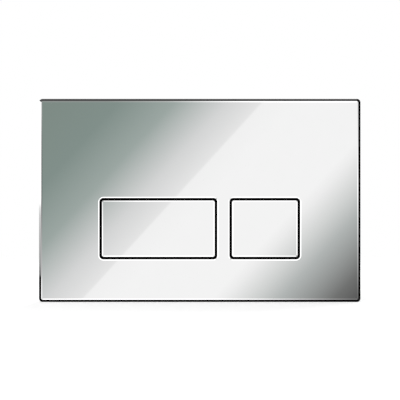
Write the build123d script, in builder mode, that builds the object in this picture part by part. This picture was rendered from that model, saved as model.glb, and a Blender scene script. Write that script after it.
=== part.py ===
from build123d import *
import os
from dataclasses import dataclass
from math import acos, asin, atan2, cos, degrees, hypot, radians, sin, tan

# Flush button plate for a concealed cistern, with its wall frame, fixings and push rods.
# X runs across the plate, Z up and Y into the wall. The origin is the plate's middle on the wall's face.
# Sizes are in millimetres. A place called "out" is in front of the wall and one called "in" is behind it.

# Face plate
plate_width = 246.4
plate_height = 155.7
plate_depth = 11.0
plate_corner_radius = 2.8
plate_bevel = 0.7
plate_edge_chamfer = 1.95
plate_edge_round = 0.25
bevel_angle = 7.0
face_thickness = 2.4
rim_thickness = 2.4
cavity_corner_radius = 1.0
rib_columns = 5
rib_rows = 2
rib_thickness = 1.2
rib_height = 3.2
rib_margin = 3.0

# Openings in the face plate, each with a collar behind it
opening_side_margin = 46.6
opening_bottom_margin = 32.95
opening_height = 46.6
opening_bar = 9.7
half_opening_width = 53.7
opening_corner_radius = 2.95
opening_bevel = 1.0
opening_edge_round = 0.4
collar_thickness = 1.6
collar_depth = 6.0

# Button caps
button_gap = 1.6
button_face = 2.0
button_skirt = 1.6
button_bevel = 1.0
button_edge_round = 0.4
button_rib = 1.2
button_rib_offset = 6.3
press_angle = 8.0

# Rockers behind the caps
rocker_thickness = 2.2
rocker_clearance = 0.4
rocker_lip = 1.0
rocker_corner_radius = 3.0
rocker_rib = 1.4
rocker_rib_height = 1.2
arm_width = 8.0
arm_root = 3.0
pad_radius = 5.0
pad_height = 1.0
tab_width = 9.0
tab_inset = 14.0
tab_lip = 0.6
post_width = 8.0
post_thickness = 1.5
post_height = 2.9
post_inset = 8.0
post_clearance = 0.2
catch_height = 0.9
catch_reach = 0.6
catch_setback = 1.8

# Hinges
pin_radius = 1.5
pin_overhang = 1.0
pin_chamfer = 0.3
press_clearance = 0.02
running_clearance = 0.05
knuckle_wall = 1.7
knuckle_clearance = 0.35
ear_thickness = 3.0
ear_inset = 8.0
side_play = 0.3

# Return springs
spring_wire = 0.8
spring_turns = 5
spring_pitch = 0.95
spring_clearance = 0.4
spring_leg = 10.0
spring_leg_gap = 0.05
spring_socket_depth = 2.0

# Button carrier
carrier_thickness = 2.8
carrier_side_band = 7.5
carrier_bottom_band = 7.5
carrier_top_band = 9.5
carrier_corner_radius = 3.0
fit_clearance = 0.4
bumper_radius = 2.2

# Carrier screws and their bosses
screw_radius = 1.3
screw_grip = 3.0
screw_head_radius = 2.8
screw_head_height = 1.9
screw_head_round = 0.7
screw_recess_width = 0.7
screw_recess_length = 3.2
screw_recess_depth = 1.0
screw_hole_clearance = 0.3
boss_radius = 2.6
boss_height = 1.8
screw_pad_radius = 3.6
screw_pad_height = 1.2

# Wall frame
flange_thickness = 3.0
flange_band = 14.0
frame_side_room = 3.0
frame_wall = 2.2
frame_corner_radius = 6.0
window_corner_radius = 5.0
bridge_thickness = 3.0
bridge_height = 28.0
bridge_rib = 2.0
bridge_rib_height = 4.0

# Snap arms of the wall frame and the plate's ledges in front of which they catch
snap_offset = 60.0
snap_width = 14.0
snap_thickness = 1.6
snap_hook = 1.5
snap_hook_height = 1.9
snap_room = 0.5
snap_play = 0.3
ledge_depth = 2.6
ledge_thickness = 1.2
ledge_side_play = 1.0

# Fixing studs, washers and thumb nuts
stud_radius = 3.0
stud_length = 44.0
stud_front_radius = 2.5
stud_chamfer = 0.6
stud_above_bridge = 7.65
stud_end = 0.7
stud_slot_width = 0.8
stud_slot_depth = 1.2
stud_collar_across_flats = 10.0
stud_collar_thickness = 4.0
lug_thickness = 3.0
lug_radius = 10.5
lug_slot_length = 11.0
lug_slot_clearance = 0.3
washer_radius = 7.0
washer_thickness = 1.0
nut_radius = 9.0
nut_thickness = 3.5
nut_scallops = 12
nut_scallop_radius = 1.6
nut_room = 1.0

# Push rods, their bushes and their tips
rod_radius = 3.5
rod_thread_radius = 3.0
rod_thread_length = 20.0
rod_head_radius = 6.0
rod_head_thickness = 3.6
rod_dome_radius = 9.0
rod_dome_flat = 0.8
rod_gap = 0.3
rod_stop_gap = 0.4
bush_wall = 2.4
bush_flange = 2.8
bush_flange_thickness = 1.4
bush_tail = 10.0
bush_catch = 0.5
bush_catch_length = 1.2
bush_slit = 1.2
tip_across_flats = 10.0
tip_length = 24.0
tip_wall = 3.0
tip_nose_radius = 3.2
tip_nose_length = 8.0
tip_nose_round = 0.8
tip_gap = 1.5
thread_clearance = 0.03

# How near to a plane an edge has to lie to be picked there
edge_tolerance = 0.001

# Places that follow from the sizes above
bevel_slope = tan(radians(bevel_angle))
plate_bevel_out = plate_depth - (plate_bevel + plate_edge_chamfer) * bevel_slope
opening_bevel_out = plate_depth - opening_bevel * bevel_slope
button_bevel_out = plate_depth - button_bevel * bevel_slope
cavity_width = plate_width - 2 * rim_thickness
cavity_height = plate_height - 2 * rim_thickness
face_back = plate_depth - face_thickness
collar_back = plate_depth - collar_depth
full_opening_width = plate_width - 2 * opening_side_margin - opening_bar - half_opening_width
opening_bottom = opening_bottom_margin - plate_height / 2
opening_top = opening_bottom + opening_height
opening_middle = (opening_bottom + opening_top) / 2
opening_right = plate_width / 2 - opening_side_margin
bar_middle = opening_right - half_opening_width - opening_bar / 2

collar_room = collar_thickness + fit_clearance
carrier_back = face_back - carrier_thickness
carrier_width = 2 * (opening_right + collar_room + carrier_side_band)
carrier_top = opening_top + collar_room + carrier_top_band
carrier_bottom = opening_bottom - collar_room - carrier_bottom_band
screw_side = carrier_width / 2 - carrier_side_band / 2
screw_row_top = carrier_top - carrier_top_band / 2
screw_row_bottom = carrier_bottom + carrier_bottom_band / 2
screw_columns = (-screw_side, bar_middle, screw_side)
screw_places = [(x, z) for x in screw_columns for z in (screw_row_top, screw_row_bottom)]

button_height = opening_height - 2 * button_gap
rocker_front = collar_back - rocker_clearance
rocker_back = rocker_front - rocker_thickness
rocker_height = opening_height + 2 * rocker_lip
rocker_top = opening_middle + rocker_height / 2
rocker_bottom = opening_middle - rocker_height / 2
tab_bottom = screw_row_bottom - bumper_radius - tab_lip

knuckle_radius = pin_radius + running_clearance + knuckle_wall
hinge_out = carrier_back - knuckle_radius - knuckle_clearance
hinge_height = opening_top + collar_thickness + knuckle_radius + knuckle_clearance
spring_radius = pin_radius + spring_clearance + spring_wire / 2

# Each rod meets its rocker behind the middle of the button and is pushed in as the rocker turns.
rod_height = opening_middle
pad_out = rocker_back - pad_height
pad_behind_hinge = hinge_out - pad_out
rod_lever = hinge_height - rod_height
press = radians(press_angle)
pad_travel = pad_behind_hinge * (1 / cos(press) - 1) + rod_lever * tan(press)
rod_travel = pad_travel + rod_dome_radius * (1 / cos(press) - 1)
rod_front_in = rod_gap - pad_out
rod_head_back_in = rod_front_in + rod_head_thickness
bush_front_in = rod_head_back_in + rod_travel + rod_stop_gap
bridge_front_in = bush_front_in + bush_flange_thickness
bridge_back_in = bridge_front_in + bridge_thickness
bush_back_in = bridge_back_in + bush_tail
tip_front_in = bush_back_in + tip_gap
rod_shoulder_in = tip_front_in
rod_end_in = rod_shoulder_in + rod_thread_length
bush_radius = rod_radius + running_clearance + bush_wall

stud_side = carrier_width / 2 + nut_radius + nut_room
stud_height = rod_height + bridge_height / 2 + stud_above_bridge
window_width = 2 * (stud_side + lug_radius)
frame_width = cavity_width - 2 * frame_side_room
frame_height = cavity_height - 2 * (ledge_depth + snap_room)
window_height = frame_height - 2 * (flange_band + frame_wall)
hook_top = face_back - snap_room
hook_back = hook_top - snap_hook_height
ledge_front = hook_back - snap_play


# What differs between the two buttons
@dataclass
class Bay:
    name: str
    middle: float
    opening_width: float

    def __post_init__(self):
        self.button_width = self.opening_width - 2 * button_gap
        self.ear_offset = self.opening_width / 2 - ear_inset
        self.arm_offset = self.ear_offset - ear_thickness / 2 - side_play - arm_width / 2
        self.tab_offset = self.opening_width / 2 - tab_inset
        self.post_offset = self.button_width / 2 - button_skirt - post_inset
        self.spring_start = self.middle - self.arm_offset + arm_width / 2 + spring_clearance + spring_wire / 2

    def both_sides(self, offset):
        return (self.middle - offset, self.middle + offset)


full_flush = Bay("full_flush", full_opening_width / 2 - opening_right, full_opening_width)
half_flush = Bay("half_flush", opening_right - half_opening_width / 2, half_opening_width)
bays = (full_flush, half_flush)


# Plane along the wall, seen from the room: its x is X and its y is Z.
def facing(out):
    return Plane.XZ.offset(out)


# Edges that lie in one plane along the wall
def edges_at(builder, out):
    return builder.edges().filter_by_position(Axis.Y, -out - edge_tolerance, -out + edge_tolerance)


# Plane square to the hinges: its x is Y and its y is Z.
def across(x):
    return Plane.YZ.offset(x)


# Plane through a rod's axis: its x is the radius and its y is Y.
def along_rod(bay):
    return Plane(origin=(bay.middle, 0, rod_height), x_dir=(1, 0, 0), z_dir=(0, 0, 1))


def rod_axis(bay):
    return Axis((bay.middle, 0, rod_height), (0, 1, 0))


# Chromed moulding: front with bevelled edges, rim, collars, ribs, screw bosses
# and the ledges that the wall frame holds
def make_face_plate():
    with BuildPart() as plate:
        with BuildSketch(facing(0)):
            RectangleRounded(plate_width, plate_height, plate_corner_radius)
        extrude(amount=plate_depth)
        front = plate.faces().sort_by(Axis.Y)[0]
        bevel_width = plate_bevel + plate_edge_chamfer
        chamfer(front.edges(), bevel_width, angle=bevel_angle, reference=front)
        chamfer(edges_at(plate, plate_bevel_out), plate_edge_chamfer)
        fillet(edges_at(plate, plate_bevel_out - plate_edge_chamfer), plate_edge_round)
        with BuildSketch(facing(0)):
            RectangleRounded(cavity_width, cavity_height, cavity_corner_radius)
        extrude(amount=face_back, mode=Mode.SUBTRACT)

        with BuildSketch(facing(face_back)):
            for bay in bays:
                with Locations((bay.middle, opening_middle)):
                    RectangleRounded(
                        bay.opening_width + 2 * collar_thickness,
                        opening_height + 2 * collar_thickness,
                        opening_corner_radius + collar_thickness,
                    )
        extrude(amount=collar_back - face_back)

        rib_field_bottom = carrier_top + rib_margin
        rib_field_top = frame_height / 2 - snap_thickness - rib_margin
        rib_field_height = rib_field_top - rib_field_bottom
        column_spacing = cavity_width / (rib_columns + 1)
        row_spacing = rib_field_height / (rib_rows + 1)
        with BuildSketch(facing(face_back)):
            with Locations((0, (rib_field_bottom + rib_field_top) / 2)):
                with GridLocations(column_spacing, 0, rib_columns, 1):
                    Rectangle(rib_thickness, rib_field_height)
                with GridLocations(0, row_spacing, 1, rib_rows):
                    Rectangle(cavity_width, rib_thickness)
        extrude(amount=-rib_height)

        with BuildSketch(facing(ledge_front)):
            with GridLocations(2 * snap_offset, cavity_height - ledge_depth, 2, 2):
                Rectangle(snap_width + 2 * ledge_side_play, ledge_depth)
        extrude(amount=-ledge_thickness)

        with BuildSketch(facing(face_back)):
            with Locations(*screw_places):
                Circle(boss_radius)
        extrude(amount=-boss_height)
        with BuildSketch(facing(face_back - boss_height)):
            with Locations(*screw_places):
                Circle(screw_radius + press_clearance)
        extrude(amount=screw_grip, mode=Mode.SUBTRACT)

        with BuildSketch(facing(plate_depth)):
            for bay in bays:
                with Locations((bay.middle, opening_middle)):
                    RectangleRounded(bay.opening_width, opening_height, opening_corner_radius)
        extrude(amount=-collar_depth, mode=Mode.SUBTRACT)
        front = plate.faces().sort_by(Axis.Y)[0]
        opening_edges = [edge for wire in front.inner_wires() for edge in wire.edges()]
        chamfer(opening_edges, opening_bevel, angle=bevel_angle, reference=front)
        fillet(edges_at(plate, opening_bevel_out), opening_edge_round)
    return plate


# Chromed cap: front with bevelled edges, skirt, two inner ribs that bear on the rocker,
# and pockets for the rocker's catches
def make_button(bay):
    inner_width = bay.button_width - 2 * button_skirt
    inner_height = button_height - 2 * button_skirt
    with BuildPart() as button:
        with BuildSketch(facing(rocker_front)):
            with Locations((bay.middle, opening_middle)):
                RectangleRounded(bay.button_width, button_height, opening_corner_radius - button_gap)
        extrude(amount=plate_depth - rocker_front)
        front = button.faces().sort_by(Axis.Y)[0]
        chamfer(front.edges(), button_bevel, angle=bevel_angle, reference=front)
        fillet(edges_at(button, button_bevel_out), button_edge_round)
        with BuildSketch(facing(rocker_front)):
            with Locations((bay.middle, opening_middle)):
                Rectangle(inner_width, inner_height)
                with GridLocations(2 * button_rib_offset, 0, 2, 1):
                    Rectangle(button_rib, inner_height, mode=Mode.SUBTRACT)
        extrude(amount=plate_depth - button_face - rocker_front, mode=Mode.SUBTRACT)

        pocket_depth = catch_reach + post_clearance
        with BuildSketch(facing(rocker_front + catch_setback - post_clearance)):
            with Locations((bay.middle, opening_middle)):
                with GridLocations(2 * bay.post_offset, inner_height, 2, 2):
                    Rectangle(post_width + 2 * post_clearance, 2 * pocket_depth)
        extrude(amount=catch_height + 2 * post_clearance, mode=Mode.SUBTRACT)
    return button


# Lever behind a cap: a plate whose lip closes the gap round the cap, two arms with hinge knuckles,
# two stop tabs, the rod's pad and the posts that the cap snaps on to
def make_rocker(bay):
    arm_bottom = rocker_top - arm_root
    tab_top = rocker_bottom + arm_root
    post_middle = button_height / 2 - button_skirt - post_clearance - post_thickness / 2
    catch_middle = post_middle + catch_reach / 2
    with BuildPart() as rocker:
        with BuildSketch(facing(rocker_front)):
            with Locations((bay.middle, opening_middle)):
                RectangleRounded(bay.opening_width + 2 * rocker_lip, rocker_height, rocker_corner_radius)
            for x in bay.both_sides(bay.arm_offset):
                with Locations((x, (arm_bottom + hinge_height) / 2)):
                    Rectangle(arm_width, hinge_height - arm_bottom)
            for x in bay.both_sides(bay.tab_offset):
                with Locations((x, (tab_top + tab_bottom) / 2)):
                    Rectangle(tab_width, tab_top - tab_bottom)
        extrude(amount=-rocker_thickness)

        with BuildSketch(facing(rocker_back)):
            for x in bay.both_sides(bay.arm_offset):
                with Locations((x, (rocker_top + rocker_bottom) / 2)):
                    Rectangle(rocker_rib, rocker_height)
        extrude(amount=-rocker_rib_height)

        for x in bay.both_sides(bay.arm_offset):
            with BuildSketch(across(x)):
                with Locations((-hinge_out, hinge_height)):
                    Circle(knuckle_radius)
            extrude(amount=arm_width / 2, both=True)
        with BuildSketch(across(bay.middle)):
            with Locations((-hinge_out, hinge_height)):
                Circle(pin_radius + running_clearance)
        extrude(amount=bay.ear_offset, both=True, mode=Mode.SUBTRACT)

        with BuildSketch(facing(rocker_back)):
            with Locations((bay.middle, rod_height)):
                Circle(pad_radius)
        extrude(amount=-pad_height)

        with BuildSketch(facing(rocker_front)):
            with Locations((bay.middle, opening_middle)):
                with GridLocations(2 * bay.post_offset, 2 * post_middle, 2, 2):
                    Rectangle(post_width, post_thickness)
        extrude(amount=post_height)
        with BuildSketch(facing(rocker_front + catch_setback)):
            with Locations((bay.middle, opening_middle)):
                with GridLocations(2 * bay.post_offset, 2 * catch_middle, 2, 2):
                    Rectangle(post_width, post_thickness + catch_reach)
        extrude(amount=catch_height)
    return rocker


def make_hinge_pin(bay):
    half_length = bay.ear_offset + ear_thickness / 2 + pin_overhang
    with BuildPart() as pin:
        with BuildSketch(across(bay.middle)):
            with Locations((-hinge_out, hinge_height)):
                Circle(pin_radius)
        extrude(amount=half_length, both=True)
        chamfer(pin.edges().filter_by(GeomType.CIRCLE), pin_chamfer)
    return pin


# Wire coil round the pin. One leg sits in a socket in the carrier, the other bears on the rocker's back.
def make_return_spring(bay):
    leg_end = hinge_out - rocker_back + spring_wire / 2 + spring_leg_gap
    leg_reach = hypot(spring_radius, spring_leg)
    lean = acos(leg_end / leg_reach) - atan2(spring_leg, spring_radius)
    turns = spring_turns + (90 + degrees(lean)) / 360
    fixed_leg = carrier_back - hinge_out + spring_socket_depth - spring_wire
    with BuildPart() as spring:
        with BuildLine() as wire:
            coil = Helix(
                spring_pitch,
                spring_pitch * turns,
                spring_radius,
                center=(bay.spring_start, -hinge_out, hinge_height),
                direction=(1, 0, 0),
                lefthand=True,
            )
            fixed_end = coil @ 0 - (coil % 0) * fixed_leg
            Line(fixed_end, coil @ 0)
            Line(coil @ 1, coil @ 1 + (coil % 1) * spring_leg)
        with BuildSketch(Plane(origin=fixed_end, z_dir=coil % 0)):
            Circle(spring_wire / 2)
        sweep(path=wire.wires()[0])
    return spring


# Dark inner frame: ring round both collars, hinge ears, spring sockets and screw pads
def make_button_carrier():
    with BuildPart() as carrier:
        with BuildSketch(facing(face_back)):
            with Locations((0, (carrier_top + carrier_bottom) / 2)):
                RectangleRounded(carrier_width, carrier_top - carrier_bottom, carrier_corner_radius)
            for bay in bays:
                with Locations((bay.middle, opening_middle)):
                    RectangleRounded(
                        bay.opening_width + 2 * collar_room,
                        opening_height + 2 * collar_room,
                        opening_corner_radius + collar_room,
                        mode=Mode.SUBTRACT,
                    )
        extrude(amount=-carrier_thickness)

        ear_depth = carrier_back - hinge_out
        for bay in bays:
            for x in bay.both_sides(bay.ear_offset):
                with BuildSketch(across(x)):
                    with Locations((-hinge_out, hinge_height)):
                        Circle(knuckle_radius)
                    with Locations((-hinge_out - ear_depth / 2, hinge_height)):
                        Rectangle(ear_depth, 2 * knuckle_radius)
                extrude(amount=ear_thickness / 2, both=True)
            with BuildSketch(across(bay.middle)):
                with Locations((-hinge_out, hinge_height)):
                    Circle(pin_radius + press_clearance)
            extrude(amount=bay.ear_offset + ear_thickness, both=True, mode=Mode.SUBTRACT)
            with BuildSketch(facing(carrier_back)):
                with Locations((bay.spring_start, hinge_height + spring_radius)):
                    Circle(spring_wire / 2 + spring_clearance)
            extrude(amount=spring_socket_depth, mode=Mode.SUBTRACT)

        with BuildSketch(facing(carrier_back)):
            with Locations(*screw_places):
                Circle(screw_pad_radius)
        extrude(amount=-screw_pad_height)
        with Locations(*[facing(face_back) * Location((x, z, 0)) for x, z in screw_places]):
            CounterBoreHole(
                screw_radius + screw_hole_clearance,
                boss_radius + screw_hole_clearance,
                boss_height + screw_hole_clearance,
            )
    return carrier


# Six self-tapping screws with cross recesses, driven from behind into the plate's bosses
def make_carrier_screws():
    head_seat = carrier_back - screw_pad_height
    shank_top = face_back - boss_height + screw_grip - screw_hole_clearance
    with BuildPart() as screws:
        with BuildSketch(facing(head_seat)):
            with Locations(*screw_places):
                Circle(screw_head_radius)
        extrude(amount=-screw_head_height)
        fillet(screws.edges().filter_by(GeomType.CIRCLE).group_by(Axis.Y)[-1], screw_head_round)
        with BuildSketch(facing(head_seat - screw_head_height)):
            with Locations(*screw_places):
                Rectangle(screw_recess_length, screw_recess_width)
                Rectangle(screw_recess_width, screw_recess_length)
        extrude(amount=screw_recess_depth, mode=Mode.SUBTRACT)
        with BuildSketch(facing(head_seat)):
            with Locations(*screw_places):
                Circle(screw_radius)
        extrude(amount=shank_top - head_seat)
    return screws


# Four rubber stops on the carrier, against which the rockers' tabs rest
def make_stop_bumpers():
    with BuildPart() as bumpers:
        with BuildSketch(facing(carrier_back)):
            for bay in bays:
                for x in bay.both_sides(bay.tab_offset):
                    with Locations((x, screw_row_bottom)):
                        Circle(bumper_radius)
        extrude(amount=rocker_front - carrier_back)
    return bumpers


# Wall frame: flange, collar into the wall's opening, stud lugs, rod bridge and snap arms
def make_mounting_frame():
    with BuildPart() as frame:
        with BuildSketch(facing(0)):
            RectangleRounded(frame_width, frame_height, frame_corner_radius)
            RectangleRounded(window_width, window_height, window_corner_radius, mode=Mode.SUBTRACT)
        extrude(amount=flange_thickness)
        with BuildSketch(facing(0)):
            RectangleRounded(
                window_width + 2 * frame_wall,
                window_height + 2 * frame_wall,
                window_corner_radius + frame_wall,
            )
            RectangleRounded(window_width, window_height, window_corner_radius, mode=Mode.SUBTRACT)
        extrude(amount=-bridge_back_in)

        bridge_length = window_width + frame_wall
        with BuildSketch(facing(-bridge_front_in)):
            with Locations((0, rod_height)):
                Rectangle(bridge_length, bridge_height)
        extrude(amount=-bridge_thickness)
        with BuildSketch(facing(-bridge_back_in)):
            with Locations((0, rod_height)):
                with GridLocations(0, bridge_height - bridge_rib, 1, 2):
                    Rectangle(bridge_length, bridge_rib)
        extrude(amount=-bridge_rib_height)
        with BuildSketch(facing(-bridge_front_in)):
            with Locations(*[(bay.middle, rod_height) for bay in bays]):
                Circle(bush_radius + press_clearance)
        extrude(amount=-bridge_thickness, mode=Mode.SUBTRACT)

        lug_reach = window_width / 2 + frame_wall / 2 - stud_side
        with BuildSketch(facing(0)):
            for side in (-1, 1):
                with Locations((side * stud_side, stud_height)):
                    Circle(lug_radius)
                with Locations((side * (stud_side + lug_reach / 2), stud_height)):
                    Rectangle(lug_reach, 2 * lug_radius)
            with Locations((-stud_side, stud_height), (stud_side, stud_height)):
                SlotOverall(lug_slot_length, 2 * (stud_front_radius + lug_slot_clearance), mode=Mode.SUBTRACT)
        extrude(amount=-lug_thickness)

        edge = frame_height / 2
        for x in (-snap_offset, snap_offset):
            for side in (-1, 1):
                with BuildSketch(across(x)):
                    with BuildLine():
                        Polyline(
                            (0, side * edge),
                            (0, side * (edge - snap_thickness)),
                            (-hook_top, side * (edge - snap_thickness)),
                            (-hook_top, side * edge),
                            (-hook_back, side * (edge + snap_hook)),
                            (-hook_back, side * edge),
                            close=True,
                        )
                    make_face()
                extrude(amount=snap_width / 2, both=True)
    return frame


# Stud with a hexagon collar: the thick end screws into the cistern, the thin end takes the thumb nut.
def make_fixing_stud(x):
    collar_back_in = lug_thickness + stud_collar_thickness
    front_out = washer_thickness + nut_thickness + stud_end
    with BuildPart() as stud:
        with BuildSketch(facing(-collar_back_in)):
            with Locations((x, stud_height)):
                Circle(stud_radius)
        extrude(amount=-stud_length)
        with BuildSketch(facing(-lug_thickness)):
            with Locations((x, stud_height)):
                Circle(stud_front_radius)
        extrude(amount=lug_thickness + front_out)
        ends = stud.edges().filter_by(GeomType.CIRCLE).sort_by(Axis.Y)
        chamfer([ends[0], ends[-1]], stud_chamfer)
        with BuildSketch(facing(-lug_thickness)):
            with Locations((x, stud_height)):
                RegularPolygon(stud_collar_across_flats / 2, 6, major_radius=False)
        extrude(amount=-stud_collar_thickness)
        with BuildSketch(facing(front_out)):
            with Locations((x, stud_height)):
                Rectangle(2 * stud_front_radius, stud_slot_width)
        extrude(amount=-stud_slot_depth, mode=Mode.SUBTRACT)
    return stud


def make_stud_washer(x):
    with BuildPart() as washer:
        with BuildSketch(facing(0)):
            with Locations((x, stud_height)):
                Circle(washer_radius)
                Circle(stud_front_radius + lug_slot_clearance, mode=Mode.SUBTRACT)
        extrude(amount=washer_thickness)
    return washer


def make_thumb_nut(x):
    with BuildPart() as nut:
        with BuildSketch(facing(washer_thickness)):
            with Locations((x, stud_height)):
                Circle(nut_radius)
                Circle(stud_front_radius + thread_clearance, mode=Mode.SUBTRACT)
                with PolarLocations(nut_radius, nut_scallops):
                    Circle(nut_scallop_radius, mode=Mode.SUBTRACT)
        extrude(amount=nut_thickness)
    return nut


# Rod with a domed head, flat at its middle, that the rocker's pad pushes, and a thinner threaded end
def make_push_rod(bay):
    flat_angle = asin(rod_dome_flat / rod_dome_radius)
    dome_angle = asin(rod_head_radius / rod_dome_radius)
    middle_angle = (flat_angle + dome_angle) / 2
    dome_centre = rod_front_in + rod_dome_radius * cos(flat_angle)

    def on_dome(angle):
        return (rod_dome_radius * sin(angle), dome_centre - rod_dome_radius * cos(angle))

    with BuildPart() as rod:
        with BuildSketch(along_rod(bay)):
            with BuildLine():
                ThreePointArc(on_dome(flat_angle), on_dome(middle_angle), on_dome(dome_angle))
                Polyline(
                    on_dome(dome_angle),
                    (rod_head_radius, rod_head_back_in),
                    (rod_radius, rod_head_back_in),
                    (rod_radius, rod_shoulder_in),
                    (rod_thread_radius, rod_shoulder_in),
                    (rod_thread_radius, rod_end_in),
                    (0, rod_end_in),
                    (0, rod_front_in),
                    on_dome(flat_angle),
                )
            make_face()
        revolve(axis=rod_axis(bay))
    return rod


# Flanged bush with four sprung fingers that catch behind the bridge
def make_rod_bush(bay):
    bore = rod_radius + running_clearance
    catch_start = bridge_back_in + post_clearance
    with BuildPart() as bush:
        with BuildSketch(along_rod(bay)):
            with BuildLine():
                Polyline(
                    (bore, bush_front_in),
                    (bush_radius + bush_flange, bush_front_in),
                    (bush_radius + bush_flange, bridge_front_in),
                    (bush_radius, bridge_front_in),
                    (bush_radius, catch_start),
                    (bush_radius + bush_catch, catch_start),
                    (bush_radius, catch_start + bush_catch_length),
                    (bush_radius, bush_back_in),
                    (bore, bush_back_in),
                    close=True,
                )
            make_face()
        revolve(axis=rod_axis(bay))
        slit_length = 2 * (bush_radius + bush_catch)
        with BuildSketch(facing(-bush_back_in)):
            with Locations((bay.middle, rod_height)):
                Rectangle(slit_length, bush_slit)
                Rectangle(bush_slit, slit_length)
        extrude(amount=bush_back_in - bridge_back_in, mode=Mode.SUBTRACT)
    return bush


# Hexagon sleeve screwed on the rod's end, with the nose that pushes the flush valve
def make_rod_tip(bay):
    with BuildPart() as tip:
        with BuildSketch(facing(-tip_front_in)):
            with Locations((bay.middle, rod_height)):
                RegularPolygon(tip_across_flats / 2, 6, major_radius=False)
        extrude(amount=-tip_length)
        with BuildSketch(facing(-tip_front_in - tip_length)):
            with Locations((bay.middle, rod_height)):
                Circle(tip_nose_radius)
        extrude(amount=-tip_nose_length)
        fillet(tip.edges().filter_by(GeomType.CIRCLE).sort_by(Axis.Y)[-1], tip_nose_round)
        with BuildSketch(facing(-tip_front_in)):
            with Locations((bay.middle, rod_height)):
                Circle(rod_thread_radius + thread_clearance)
        extrude(amount=tip_wall - tip_length, mode=Mode.SUBTRACT)
    return tip


def save(builder, name):
    builder.part.label = name
    export_step(builder.part, f"parts/{name}.step")


os.makedirs("parts", exist_ok=True)
save(make_face_plate(), "face_plate")
save(make_button_carrier(), "button_carrier")
save(make_carrier_screws(), "carrier_screws")
save(make_stop_bumpers(), "stop_bumpers")
save(make_mounting_frame(), "mounting_frame")
for bay in bays:
    save(make_button(bay), f"{bay.name}_button")
    save(make_rocker(bay), f"{bay.name}_rocker")
    save(make_hinge_pin(bay), f"{bay.name}_hinge_pin")
    save(make_return_spring(bay), f"{bay.name}_return_spring")
    save(make_push_rod(bay), f"{bay.name}_push_rod")
    save(make_rod_bush(bay), f"{bay.name}_rod_bush")
    save(make_rod_tip(bay), f"{bay.name}_rod_tip")
for side, x in (("left", -stud_side), ("right", stud_side)):
    save(make_fixing_stud(x), f"fixing_stud_{side}")
    save(make_stud_washer(x), f"stud_washer_{side}")
    save(make_thumb_nut(x), f"thumb_nut_{side}")
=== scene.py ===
import math

import bmesh
import bpy
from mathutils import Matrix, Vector


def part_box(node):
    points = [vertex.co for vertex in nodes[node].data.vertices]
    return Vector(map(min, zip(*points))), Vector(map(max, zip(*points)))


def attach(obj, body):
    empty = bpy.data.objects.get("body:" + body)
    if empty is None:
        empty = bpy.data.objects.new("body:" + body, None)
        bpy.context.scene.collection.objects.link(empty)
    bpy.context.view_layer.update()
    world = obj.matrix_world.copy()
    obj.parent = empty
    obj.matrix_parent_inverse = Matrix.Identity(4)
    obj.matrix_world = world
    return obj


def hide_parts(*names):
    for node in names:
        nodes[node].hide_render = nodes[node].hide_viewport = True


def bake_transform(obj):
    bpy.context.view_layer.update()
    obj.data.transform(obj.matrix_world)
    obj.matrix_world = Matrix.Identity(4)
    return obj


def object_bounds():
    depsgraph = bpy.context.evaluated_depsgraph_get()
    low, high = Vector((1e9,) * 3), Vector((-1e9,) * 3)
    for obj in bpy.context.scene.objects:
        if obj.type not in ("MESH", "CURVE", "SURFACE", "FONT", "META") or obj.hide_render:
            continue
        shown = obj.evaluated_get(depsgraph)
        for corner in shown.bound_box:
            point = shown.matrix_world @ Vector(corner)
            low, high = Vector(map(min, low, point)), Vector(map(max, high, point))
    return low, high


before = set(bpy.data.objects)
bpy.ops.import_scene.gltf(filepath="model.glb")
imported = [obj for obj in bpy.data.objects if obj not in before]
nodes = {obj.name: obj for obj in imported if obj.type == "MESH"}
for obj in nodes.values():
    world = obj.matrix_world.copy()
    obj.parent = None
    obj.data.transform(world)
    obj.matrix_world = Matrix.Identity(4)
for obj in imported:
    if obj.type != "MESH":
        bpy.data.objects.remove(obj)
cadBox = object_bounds()
scene = bpy.context.scene
mm = 0.001


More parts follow.
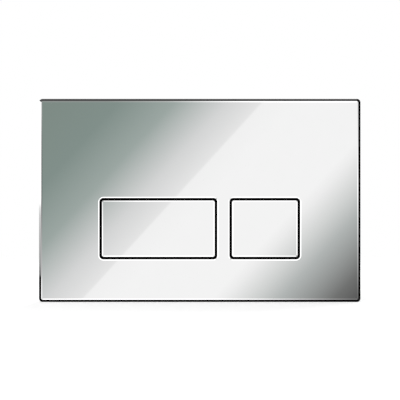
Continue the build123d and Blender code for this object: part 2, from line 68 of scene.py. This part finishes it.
# A socket that can be used in sums. Every sign adds a Math node to the socket's tree.
class Wire:
    def __init__(self, tree, socket=None):
        self.tree = tree
        self.socket = socket

    # Adds any node: its settings first, then the values or links of its inputs
    def add(self, kind, settings=None, inputs=None, out=0):
        node = self.tree.nodes.new(kind)
        for key, value in (settings or {}).items():
            if key == "stops":
                self.fillRamp(node.color_ramp.elements, value)
            else:
                setattr(node, key, value)
        self.plug(node, inputs or {})
        return Wire(self.tree, node.outputs[out])

    def plug(self, node, inputs):
        for key, value in inputs.items():
            if isinstance(value, Wire):
                self.tree.links.new(value.socket, node.inputs[key])
            else:
                node.inputs[key].default_value = value

    def fillRamp(self, elements, stops):
        while len(elements) < len(stops):
            elements.new(1)
        for element, (place, colour) in zip(elements, stops):
            element.position = place
            element.color = colour

    def other(self, name):
        return Wire(self.tree, self.socket.node.outputs[name])

    def maths(self, operation, *values):
        return self.add("ShaderNodeMath", {"operation": operation}, dict(enumerate(values)))

    def __add__(self, more):
        return self.maths("ADD", self, more)

    __radd__ = __add__

    def __sub__(self, less):
        return self.maths("SUBTRACT", self, less)

    def __rsub__(self, first):
        return self.maths("SUBTRACT", first, self)

    def __mul__(self, factor):
        return self.maths("MULTIPLY", self, factor)

    __rmul__ = __mul__

    def __truediv__(self, divisor):
        return self.maths("DIVIDE", self, divisor)

    def __pow__(self, power):
        return self.maths("POWER", self, power)

    def __abs__(self):
        return self.maths("ABSOLUTE", self)

    def __gt__(self, limit):
        return self.maths("GREATER_THAN", self, limit)

    def __lt__(self, limit):
        return self.maths("LESS_THAN", self, limit)

    # 0 below low, 1 above high and smooth between
    def rise(self, low, high):
        settings = {"interpolation_type": "SMOOTHSTEP"}
        return self.add("ShaderNodeMapRange", settings, {0: self, 1: low, 2: high, 3: 0, 4: 1})

    # This value as the share of the second colour
    def between(self, first, second):
        return self.add("ShaderNodeMix", {"data_type": "RGBA"}, {0: self, 6: first, 7: second}, 2)

    def noise(self, where, perMm, detail=3, roughness=0.5):
        inputs = {"Vector": where, "Scale": perMm / mm, "Detail": detail, "Roughness": roughness}
        return self.add("ShaderNodeTexNoise", None, inputs)

    def bump(self, height, strength, depth, more=None):
        inputs = {"Strength": strength, "Distance": depth, "Height": height}
        return self.add("ShaderNodeBump", None, inputs | (more or {}))


def shade(value):
    return (value, value, value, 1)


# The greys this far below and above a middle one
def greys(middle, variation):
    return shade(middle - variation), shade(middle + variation)


def linear(tone):
    part = tone / 255
    return part / 12.92 if part <= 0.04045 else ((part + 0.055) / 1.055) ** 2.4


# New material: its wire, its Principled shader and the object's own coordinates
def newFinish(name):
    material = bpy.data.materials.new(name)
    material.use_nodes = True
    wire = Wire(material.node_tree)
    shader = material.node_tree.nodes["Principled BSDF"]
    where = wire.add("ShaderNodeTexCoord", out="Object")
    return material, wire, shader, where


# Mirror chrome: faint polishing haze on the outside, painted shade (a near-black, rough base colour) on
# the walls in the gaps round the buttons, and duller plating inside the moulding
chrome = {
    "metal": 0.885,
    "metalVariation": 0.006,
    "polish": 0.010,
    "haze": 0.008,
    "hazePerMm": 0.09,
    # painted shade: near-black base colour and a rough finish on the walls of the gaps round the buttons
    "gapShadeMetal": 0.02,
    "gapShadeRoughness": 0.5,
    "gapShadeDepth": 0.125 * mm,  # behind the front, on the rounds of the edges
    "insideMetal": 0.52,
    "insideVariation": 0.052,
    "insideRoughness": 0.34,
    "insideSpread": 0.12,
    "insidePerMm": 2.5,
    "rim": 2.4 * mm,  # walls round the moulding
    "face": 2.4 * mm,  # thickness of its front
    "edge": 0.25 * mm,  # how far the bright plating reaches in
}


def chromeFinish(name, low, high):
    material, wire, shader, where = newFinish("chrome_" + name)
    x = wire.add("ShaderNodeSeparateXYZ", None, {0: where})
    y, z = x.other("Y"), x.other("Z")
    middleX, middleZ = (low.x + high.x) / 2, (low.z + high.z) / 2
    halfX = (high.x - low.x) / 2 - chrome["rim"] + chrome["edge"]
    halfZ = (high.z - low.z) / 2 - chrome["rim"] + chrome["edge"]
    withinRim = (abs(x - middleX) < halfX) * (abs(z - middleZ) < halfZ)
    inside = (y > low.y + chrome["face"] - chrome["edge"]) * withinRim
    # painted shade in the gaps: walls deeper than this behind the front turn near-black
    paintedGapShade = y > low.y + chrome["gapShadeDepth"]
    if name == "face_plate":
        paintedGapShade = paintedGapShade * withinRim  # its own sides stay bright
    cloud = wire.noise(where, chrome["hazePerMm"])
    grain = wire.noise(where, chrome["insidePerMm"], 4)
    bright = cloud.between(*greys(chrome["metal"], chrome["metalVariation"]))
    # the outer plating, with the painted gap shade mixed in
    outside = paintedGapShade.between(bright, shade(chrome["gapShadeMetal"]))
    dull = grain.between(*greys(chrome["insideMetal"], chrome["insideVariation"]))
    polished = chrome["polish"] + chrome["haze"] * cloud + chrome["gapShadeRoughness"] * paintedGapShade
    satin = chrome["insideRoughness"] + chrome["insideSpread"] * (grain - 0.5)
    wire.plug(shader, {
        "Base Color": inside.between(outside, dull),
        "Roughness": polished + inside * (satin - polished),
        "Metallic": 1.0,
    })
    return material


# Moulded plastics: eroded grain, slow flow marks and softened edges. A darker matt black under the gaps is
# painted shade.
plastics = {
    "black_plastic": {
        "colour": (0.012, 0.012, 0.013), "flow": 0.004, "roughness": 0.42, "gloss": 0.2, "grain": 0.05,
    },
    # painted shade: a darker, matt copy of the black plastic for the rockers seen through the gaps
    "gap_shade_black": {
        "colour": (0.004, 0.004, 0.004), "flow": 0.001, "roughness": 0.62, "gloss": 0.0, "grain": 0.05,
    },
    "grey_plastic": {
        "colour": (0.37, 0.385, 0.40), "flow": 0.025, "roughness": 0.48, "gloss": 0.5, "grain": 0.09,
    },
    "white_plastic": {
        "colour": (0.80, 0.80, 0.785), "flow": 0.02, "roughness": 0.36, "gloss": 0.5, "grain": 0.03,
    },
    "blue_plastic": {
        "colour": (0.028, 0.13, 0.44), "flow": 0.02, "roughness": 0.34, "gloss": 0.5, "grain": 0.03,
    },
    "dark_plastic": {
        "colour": (0.055, 0.057, 0.062), "flow": 0.012, "roughness": 0.40, "gloss": 0.4, "grain": 0.04,
    },
}
moulding = {
    "edgeRound": 0.28 * mm,
    "edgeSamples": 4,
    "grainPerMm": 3.2,
    "grainDepth": 0.02 * mm,
    "grainStrength": 4,
    "flowPerMm": 0.05,
    "flowRoughness": 0.12,
    "darkest": 0.004,
}


def plasticFinish(slot):
    look = plastics[slot]
    material, wire, shader, where = newFinish(slot)
    flow = wire.noise(where, moulding["flowPerMm"], 2)
    grain = wire.noise(where, moulding["grainPerMm"], 3, 0.6)
    pale = [part + look["flow"] for part in look["colour"]]
    deep = [max(part - look["flow"], moulding["darkest"]) for part in look["colour"]]
    soft = {"samples": moulding["edgeSamples"]}
    edge = wire.add("ShaderNodeBevel", soft, {"Radius": moulding["edgeRound"]})
    strength = moulding["grainStrength"] * look["grain"]
    rough = look["roughness"] + moulding["flowRoughness"] * (flow - 0.5)
    wire.plug(shader, {
        "Base Color": flow.between((*deep, 1), (*pale, 1)),
        "Roughness": rough + look["grain"] * (grain - 0.5),
        "Normal": wire.bump(grain, strength, moulding["grainDepth"], {"Normal": edge}),
        "Specular IOR Level": look["gloss"],
    })
    return material


# Zinc plating: crystal mottling, scuffs and a faint straw and blue passivation
zinc = {
    "plain": ((0.52, 0.54, 0.57, 1), (0.66, 0.68, 0.70, 1)),
    "warm": ((0.60, 0.57, 0.49, 1), (0.70, 0.67, 0.60, 1)),
    "warmStarts": (0.5, 0.72),
    "warmPerMm": 0.22,
    "crystalPerMm": 0.9,
    "roughness": 0.30,
    "crystalRoughness": 0.16,
    "scuffPerMm": 4.0,
    "scuffRoughness": 0.1,
    "scuffStrength": 0.25,
    "scuffDepth": 0.012 * mm,
}


def zincFinish(slot):
    material, wire, shader, where = newFinish(slot)
    cells = {"Vector": where, "Scale": zinc["crystalPerMm"] / mm}
    crystal = wire.add("ShaderNodeTexVoronoi", None, cells, "Color")
    patch = wire.add("ShaderNodeSeparateColor", None, {0: crystal})
    tint = wire.noise(where, zinc["warmPerMm"], 2)
    scuff = wire.noise(where, zinc["scuffPerMm"], 4, 0.7)
    rough = zinc["roughness"] + zinc["crystalRoughness"] * (patch - 0.5)
    plain, warm = patch.between(*zinc["plain"]), patch.between(*zinc["warm"])
    wire.plug(shader, {
        "Base Color": tint.rise(*zinc["warmStarts"]).between(plain, warm),
        "Roughness": rough + zinc["scuffRoughness"] * (scuff - 0.5),
        "Metallic": 1.0,
        "Normal": wire.bump(scuff, zinc["scuffStrength"], zinc["scuffDepth"]),
    })
    return material


# Drawn steel: fine lines along X and a film of oil, for the pins and the spring wire
steels = {
    "bright_steel": {"metal": 0.66, "roughness": 0.16, "lines": 0.10},
    "spring_steel": {"metal": 0.36, "roughness": 0.27, "lines": 0.18},
}
drawing = {
    "stretch": (0.12, 1, 1),
    "linesPerMm": 5.0,
    "lineShare": 0.6,
    "lineStrength": 0.2,
    "lineDepth": 0.008 * mm,
    "oilPerMm": 0.35,
    "oilRoughness": 0.06,
    "dark": (0.82, 0.83, 0.86),
    "light": (1.08, 1.08, 1.08),
}


def steelFinish(slot):
    look = steels[slot]
    material, wire, shader, where = newFinish(slot)
    stretched = wire.add("ShaderNodeMapping", None, {"Vector": where, "Scale": drawing["stretch"]})
    lines = wire.noise(stretched, drawing["linesPerMm"], 4, 0.7)
    oil = wire.noise(where, drawing["oilPerMm"], 2)
    dark = [look["metal"] * share for share in drawing["dark"]]
    light = [look["metal"] * share for share in drawing["light"]]
    marks = drawing["lineShare"] * lines + (1 - drawing["lineShare"]) * oil
    rough = look["roughness"] + look["lines"] * (lines - 0.5)
    wire.plug(shader, {
        "Base Color": marks.between((*dark, 1), (*light, 1)),
        "Roughness": rough + drawing["oilRoughness"] * (oil - 0.5),
        "Metallic": 1.0,
        "Normal": wire.bump(lines, drawing["lineStrength"], drawing["lineDepth"]),
    })
    return material


# Rubber stops: matt, with a dusty bloom
rubber = {
    "colour": (0.022, 0.022, 0.022, 1),
    "bloom": (0.05, 0.05, 0.048, 1),
    "bloomStarts": (0.4, 0.75),
    "bloomPerMm": 0.8,
    "roughness": 0.78,
    "bloomRoughness": 0.15,
    "grainPerMm": 6.0,
    "grainStrength": 0.3,
    "grainDepth": 0.02 * mm,
}


def rubberFinish(slot):
    material, wire, shader, where = newFinish(slot)
    bloom = wire.noise(where, rubber["bloomPerMm"], 4, 0.6)
    grain = wire.noise(where, rubber["grainPerMm"], 2)
    wire.plug(shader, {
        "Base Color": bloom.rise(*rubber["bloomStarts"]).between(rubber["colour"], rubber["bloom"]),
        "Roughness": rubber["roughness"] + rubber["bloomRoughness"] * (bloom - 0.5),
        "Normal": wire.bump(grain, rubber["grainStrength"], rubber["grainDepth"]),
    })
    return material


finishes = {slot: plasticFinish(slot) for slot in plastics}
finishes.update({slot: steelFinish(slot) for slot in steels})
finishes["zinc_steel"] = zincFinish("zinc_steel")
finishes["bumper_rubber"] = rubberFinish("bumper_rubber")


# Every node takes the finish of its slot in the record. Each chromed piece has its own inside,
# and the rockers, which close the gaps round the buttons, take a darker matt black as painted shade for
# the gaps.
def dress(node):
    slot = node.data.materials[0].name.split(".")[0]
    if slot == "chrome_skin":
        finish = chromeFinish(node.name, *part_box(node.name))
    # the rockers get the darker black as painted shade
    elif node.name.endswith("_rocker"):
        finish = finishes["gap_shade_black"]
    else:
        finish = finishes[slot]
    node.material_slots[0].link = "OBJECT"
    node.material_slots[0].material = finish


for node in nodes.values():
    dress(node)
print("finishes on", len(nodes), "nodes")


def makeSpring(bay):
    node = nodes[bay + "_return_spring"]
    coil = bpy.data.objects.new(bay + "_return_coil", node.data.copy())
    scene.collection.objects.link(coil)
    coil.data.materials.clear()
    coil.data.materials.append(finishes["spring_steel"])
    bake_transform(coil)
    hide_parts(node.name)


for bay in ("full_flush", "half_flush"):
    makeSpring(bay)
print("return springs ready")


# Fixing studs: rolled threads, a hexagon collar and a screwdriver slot. Places count from the wall's face.
stud = {
    "thinRadius": 2.5 * mm,
    "thinPitch": 0.8 * mm,
    "thickRadius": 3.0 * mm,
    "thickPitch": 1.0 * mm,
    "threadDepth": 0.6,  # of the pitch
    "flankSlope": 1.3,
    "crestWidth": 0.15,
    "leadIn": 0.6 * mm,
    "collar": (3.0 * mm, 7.0 * mm),
    "flats": 10.0 * mm,
    "collarSlope": 1.7,
    "slotWidth": 0.8 * mm,
    "slotDepth": 1.2 * mm,
    "around": 40,
    "rowsPerTurn": 9,
    "sharpFrom": math.radians(40),
}


def threadRadius(radius, pitch, y, angle, end):
    turn = (y / pitch - angle / math.tau) % 1
    groove = min(max(stud["flankSlope"] * abs(2 * turn - 1) - stud["crestWidth"], 0), 1)
    toCollar = min(abs(y - face) for face in stud["collar"])
    groove *= min(toCollar / pitch, 1)  # the thread runs out at the collar
    return min(radius - stud["threadDepth"] * pitch * groove, radius - stud["leadIn"] + abs(y - end))


def collarRadius(y, angle):
    flat = stud["flats"] / 2
    fromFace = min(abs(y - face) for face in stud["collar"])
    corner = angle % (math.pi / 3) - math.pi / 6
    return min(flat / math.cos(corner), flat + stud["collarSlope"] * fromFace)


# Every row of the stud's skin: its place and the radius that it has all round
def studRows(frontEnd, backEnd):
    angles = [math.tau * step / stud["around"] for step in range(stud["around"])]
    rows = []

    def addThread(radius, pitch, start, stop, end):
        count = round(abs(stop - start) / pitch * stud["rowsPerTurn"])
        for step in range(count + 1):
            y = start + (stop - start) * step / count
            rows.append((y, [threadRadius(radius, pitch, y, angle, end) for angle in angles]))

    collarFront, collarBack = stud["collar"]
    cornerHeight = (1 / math.cos(math.pi / 6) - 1) * stud["flats"] / 2
    cut = cornerHeight / stud["collarSlope"]
    addThread(stud["thinRadius"], stud["thinPitch"], frontEnd, collarFront, frontEnd)
    for y in (collarFront, collarFront + cut, collarBack - cut, collarBack):
        rows.append((y, [collarRadius(y, angle) for angle in angles]))
    addThread(stud["thickRadius"], stud["thickPitch"], collarBack, backEnd, backEnd)
    return angles, rows


def cutSlot(piece, x, front, z):
    pastStud = 4 * stud["thinRadius"]
    shape = bmesh.new()
    bmesh.ops.create_cube(shape, size=1)
    size = (pastStud, 2 * stud["slotDepth"], stud["slotWidth"])
    bmesh.ops.scale(shape, verts=shape.verts, vec=size)
    bmesh.ops.translate(shape, verts=shape.verts, vec=(x, front, z))
    mesh = bpy.data.meshes.new("slot")
    shape.to_mesh(mesh)
    shape.free()
    cutter = bpy.data.objects.new("slot", mesh)
    scene.collection.objects.link(cutter)
    cut = piece.modifiers.new("slot", "BOOLEAN")
    cut.operation = "DIFFERENCE"
    cut.object = cutter
    whole = piece.data
    seen = piece.evaluated_get(bpy.context.evaluated_depsgraph_get())
    piece.data = bpy.data.meshes.new_from_object(seen)
    piece.modifiers.clear()
    bpy.data.objects.remove(cutter)
    bpy.data.meshes.remove(whole)


def makeStud(side):
    node = nodes["fixing_stud_" + side]
    low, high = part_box(node.name)
    x, z = (low.x + high.x) / 2, (low.z + high.z) / 2
    angles, rows = studRows(low.y, high.y)
    shape = bmesh.new()
    rings = []
    for y, radii in rows:
        spots = [(x + r * math.cos(angle), y, z + r * math.sin(angle)) for r, angle in zip(radii, angles)]
        rings.append([shape.verts.new(spot) for spot in spots])
    for ring, after in zip(rings, rings[1:]):
        for step in range(len(ring)):
            shape.faces.new((ring[step - 1], ring[step], after[step], after[step - 1]))
    shape.faces.new(rings[0])
    shape.faces.new(rings[-1])
    bmesh.ops.recalc_face_normals(shape, faces=shape.faces)
    mesh = bpy.data.meshes.new("threaded_stud_" + side)
    shape.to_mesh(mesh)
    shape.free()
    mesh.materials.append(finishes["zinc_steel"])
    piece = bpy.data.objects.new("threaded_stud_" + side, mesh)
    scene.collection.objects.link(piece)
    cutSlot(piece, x, low.y, z)
    piece.data.shade_smooth()
    piece.data.set_sharp_from_angle(angle=stud["sharpFrom"])
    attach(piece, "plate_body")
    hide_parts(node.name)


for side in ("left", "right"):
    makeStud(side)
print("threaded studs ready")


# Camera square to the plate, with the plate where the photograph has it
shot = {
    "distance": 1.2,
    "frame": 400,
    "pixel": 0.7649 * mm,
    "plateMiddle": (199.76, 200.43),
    "sensor": 36.0,
}


def makeCamera():
    data = bpy.data.cameras.new("shot")
    camera = bpy.data.objects.new("shot", data)
    scene.collection.objects.link(camera)
    low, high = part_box("face_plate")
    middle = (low + high) / 2
    x = middle.x + (shot["frame"] / 2 - shot["plateMiddle"][0]) * shot["pixel"]
    z = middle.z - (shot["frame"] / 2 - shot["plateMiddle"][1]) * shot["pixel"]
    camera.location = (x, low.y - shot["distance"], z)
    camera.rotation_euler = (math.radians(90), 0, 0)
    data.sensor_width = shot["sensor"]
    data.lens = shot["sensor"] * shot["distance"] / (shot["frame"] * shot["pixel"])
    scene.camera = camera


makeCamera()

# What the chrome sees, from straight ahead to the sides. Places are parts of the ray's direction, along
# a slant or up. Tones are what the chrome then shows, and above 255 a card is brighter than white.
studio = {
    "aheadSlant": (0.7385, -0.6745),
    "ahead": [  # in the flat front
        (-0.112, (126, 139, 133)),
        (-0.080, (129, 143, 138)),
        (-0.054, (155, 166, 162)),
        (-0.029, (211, 212, 212)),
        (-0.0132, 228),
        (-0.0128, 240),
        (0.003, 243),
        (0.048, 243),
        (0.054, 236),
        (0.067, (210, 212, 211)),
        (0.080, (176, 180, 179)),
        (0.105, (112, 113, 112)),
        (0.118, 82),
    ],
    "aheadEnds": (0.130, 0.140),
    "roundSlant": (0.7071, -0.7071),
    "round": [  # in the bevels
        (-0.255, (150, 156, 153)),
        (-0.228, (190, 194, 192)),
        (-0.200, 280),
        (-0.188, 300),
        (0.215, 296),
        (0.240, 272),
        (0.258, 216),
        (0.272, 165),
        (0.281, 132),
        (0.31, 90),
    ],
    "leftBevel": [  # in the plate's left bevel, upwards
        (-0.060, 262),
        (-0.051, 250),
        (-0.047, 206),
        (-0.041, 188),
        (-0.019, 150),
        (-0.003, 108),
        (0.003, 80),
        (0.026, 84),
        (0.041, 118),
        (0.056, 165),
    ],
    "leftBevelEnds": (-0.328, -0.318),
    "rightBevel": [  # in the plate's right bevel, upwards
        (-0.060, 112),
        (-0.032, 199),
        (-0.012, 246),
        (0.007, 276),
        (0.058, 223),
    ],
    "rightBevelStarts": (0.318, 0.328),
    "nearGap": [  # in the rounds beside the gaps
        (-0.52, (196, 199, 198)),
        (-0.42, (232, 233, 232)),
        (-0.34, 250),
        (-0.25, 290),
        (0.25, 290),
        (0.34, 250),
        (0.42, (228, 230, 229)),
        (0.52, (196, 199, 198)),
    ],
    "nearGapStarts": (0.356, 0.37),
    "far": [  # in slanting views
        (-1.00, 150),
        (-0.93, 243),
        (-0.87, 243),
        (-0.80, 80),
        (-0.66, (130, 132, 131)),
        (-0.58, 243),
        (-0.505, 243),
        (-0.50, (150, 154, 152)),
        (-0.42, (90, 94, 92)),
        (-0.30, (150, 156, 153)),
        (-0.22, (208, 211, 209)),
        (-0.15, (236, 237, 236)),
        (-0.095, 243),
        (-0.090, 224),
        (-0.01, (190, 193, 192)),
        (0.08, (136, 142, 139)),
        (0.14, (128, 134, 131)),
        (0.20, (205, 207, 206)),
        (0.25, 240),
        (0.272, 165),
        (0.31, 90),
        (0.42, (70, 72, 71)),
        (0.50, (150, 153, 152)),
        (0.505, 243),
        (0.58, 243),
        (0.62, (232, 233, 232)),
        (0.68, (192, 195, 193)),
        (0.74, (140, 144, 142)),
        (0.79, (122, 126, 124)),
        (0.86, (172, 175, 173)),
        (0.93, (236, 237, 236)),
    ],
    "farStarts": (0.74, 0.78),
    "farBeside": (0.11, 0.14),  # nearer where a ray leans both sideways and up or down
    "left": [  # in the plate's left edge, upwards
        (-0.049, 0),
        (-0.047, 120),
        (-0.040, 158),
        (-0.022, 180),
        (-0.010, 200),
        (-0.005, 226),
        (0.002, 300),
    ],
    "leftEnds": -0.90,
    "sideStarts": (0.93, 0.96),  # black sides, with a way out for the plate's flat rim
    "sideRim": (0.035, 0.05),
    "sideEnds": (0.26, 0.30),
    "sideGrey": 80,
    "sideFades": (-0.62, -0.55),
    "brightest": 300,
    "ambient": (0.60, 0.60, 0.60, 1),  # what all else sees
}


# Light that the chrome turns into this tone, as a share of the brightest card
def cardLight(tone):
    parts = tone if isinstance(tone, tuple) else (tone, tone, tone)
    return (*[linear(part) / linear(studio["brightest"]) for part in parts], 1)


def toneRamp(wire, value, stops):
    first, last = stops[0][0], stops[-1][0]
    colours = [((place - first) / (last - first), cardLight(tone)) for place, tone in stops]
    share = (value - first) / (last - first)
    return wire.add("ShaderNodeValToRGB", {"stops": colours}, {0: share})


def makeWorld():
    world = bpy.data.worlds.new("studio")
    world.use_nodes = True
    scene.world = world
    wire = Wire(world.node_tree)
    ray = wire.add("ShaderNodeTexCoord", out="Generated")
    x = wire.add("ShaderNodeSeparateXYZ", None, {0: ray})
    y, z = x.other("Y"), x.other("Z")
    away = (x * x + z * z) ** 0.5
    alongAhead = x * studio["aheadSlant"][0] + z * studio["aheadSlant"][1]
    alongRound = x * studio["roundSlant"][0] + z * studio["roundSlant"][1]

    ahead = toneRamp(wire, alongAhead, studio["ahead"])
    around = toneRamp(wire, alongRound, studio["round"])
    leftBevel = toneRamp(wire, z, studio["leftBevel"])
    rightBevel = toneRamp(wire, z, studio["rightBevel"])
    around = x.rise(*studio["leftBevelEnds"]).between(leftBevel, around)
    around = x.rise(*studio["rightBevelStarts"]).between(around, rightBevel)
    nearGap = toneRamp(wire, alongRound, studio["nearGap"])
    around = away.rise(*studio["nearGapStarts"]).between(around, nearGap)
    far = toneRamp(wire, alongRound, studio["far"])
    left = toneRamp(wire, z, studio["left"])
    sides = alongRound.rise(*studio["sideFades"]).between(cardLight(studio["sideGrey"]), cardLight(0))
    sides = (x < studio["leftEnds"]).between(sides, left)

    beside = wire.maths("MINIMUM", abs(x), abs(z)).rise(*studio["farBeside"])
    farther = wire.maths("MAXIMUM", away.rise(*studio["farStarts"]), beside)
    clearOfRim = abs(y).rise(*studio["sideRim"]) - y.rise(*studio["sideEnds"])
    seen = away.rise(*studio["aheadEnds"]).between(ahead, farther.between(around, far))
    seen = (away.rise(*studio["sideStarts"]) * clearOfRim).between(seen, sides)

    path = wire.add("ShaderNodeLightPath")
    glossy = path.other("Is Glossy Ray")
    lit = glossy.between(studio["ambient"], seen)
    cardStrength = linear(studio["brightest"]) / chrome["metal"]
    wire.plug(world.node_tree.nodes["Background"], {
        "Color": path.other("Is Camera Ray").between(lit, shade(1)),
        "Strength": 1 + glossy * (cardStrength - 1),
    })


makeWorld()

# Soft lamps for everything that isn't mirror bright
lamps = {
    "frontLamp": {"place": (-0.35, -1.1, 1.25), "size": 1.1, "power": 14},
    "backLamp": {"place": (0.45, 1.2, 1.0), "size": 1.1, "power": 14},
}


def makeLamp(name):
    look = lamps[name]
    data = bpy.data.lights.new(name, "AREA")
    data.size = look["size"]
    data.energy = look["power"]
    lamp = bpy.data.objects.new(name, data)
    scene.collection.objects.link(lamp)
    lamp.location = look["place"]
    lamp.rotation_euler = (-Vector(look["place"])).to_track_quat("-Z", "Y").to_euler()
    lamp.visible_glossy = False


for name in lamps:
    makeLamp(name)

# Pale floor just under the plate, white to the camera, grey in the shadow and clear from below
ground = {
    "radius": 1.4,
    "segments": 96,
    "below": 0.05 * mm,
    "colour": (0.72, 0.72, 0.72, 1),
    "roughness": 0.9,
    "glow": 0.34,
    "fades": (0.45, 1.0),
}


def makeFloor():
    mesh = bpy.data.meshes.new("floor")
    shape = bmesh.new()
    bmesh.ops.create_circle(shape, cap_ends=True, segments=ground["segments"], radius=ground["radius"])
    shape.to_mesh(mesh)
    shape.free()
    floor = bpy.data.objects.new("floor", mesh)
    scene.collection.objects.link(floor)
    floor.location.z = cadBox[0].z - ground["below"]
    floor.visible_glossy = False
    material, wire, shader, where = newFinish("floor")
    tree = material.node_tree
    seen = wire.add("ShaderNodeLightPath", out="Is Camera Ray")
    fromMiddle = wire.add("ShaderNodeVectorMath", {"operation": "LENGTH"}, {0: where}, "Value")
    wire.plug(shader, {
        "Base Color": ground["colour"],
        "Alpha": 1 - seen * fromMiddle.rise(*ground["fades"]),
        "Roughness": ground["roughness"],
        "Specular IOR Level": 0.0,
        "Emission Color": seen.between(shade(0), shade(ground["glow"])),
        "Emission Strength": 1.0,
    })
    clear = wire.add("ShaderNodeBsdfTransparent")
    under = wire.add("ShaderNodeNewGeometry", out="Backfacing")
    surface = wire.add("ShaderNodeMixShader", None, {0: under, 1: Wire(tree, shader.outputs[0]), 2: clear})
    wire.plug(tree.nodes["Material Output"], {"Surface": surface})
    mesh.materials.append(material)


makeFloor()
scene.view_settings.view_transform = "Standard"
print("camera, studio and floor ready")
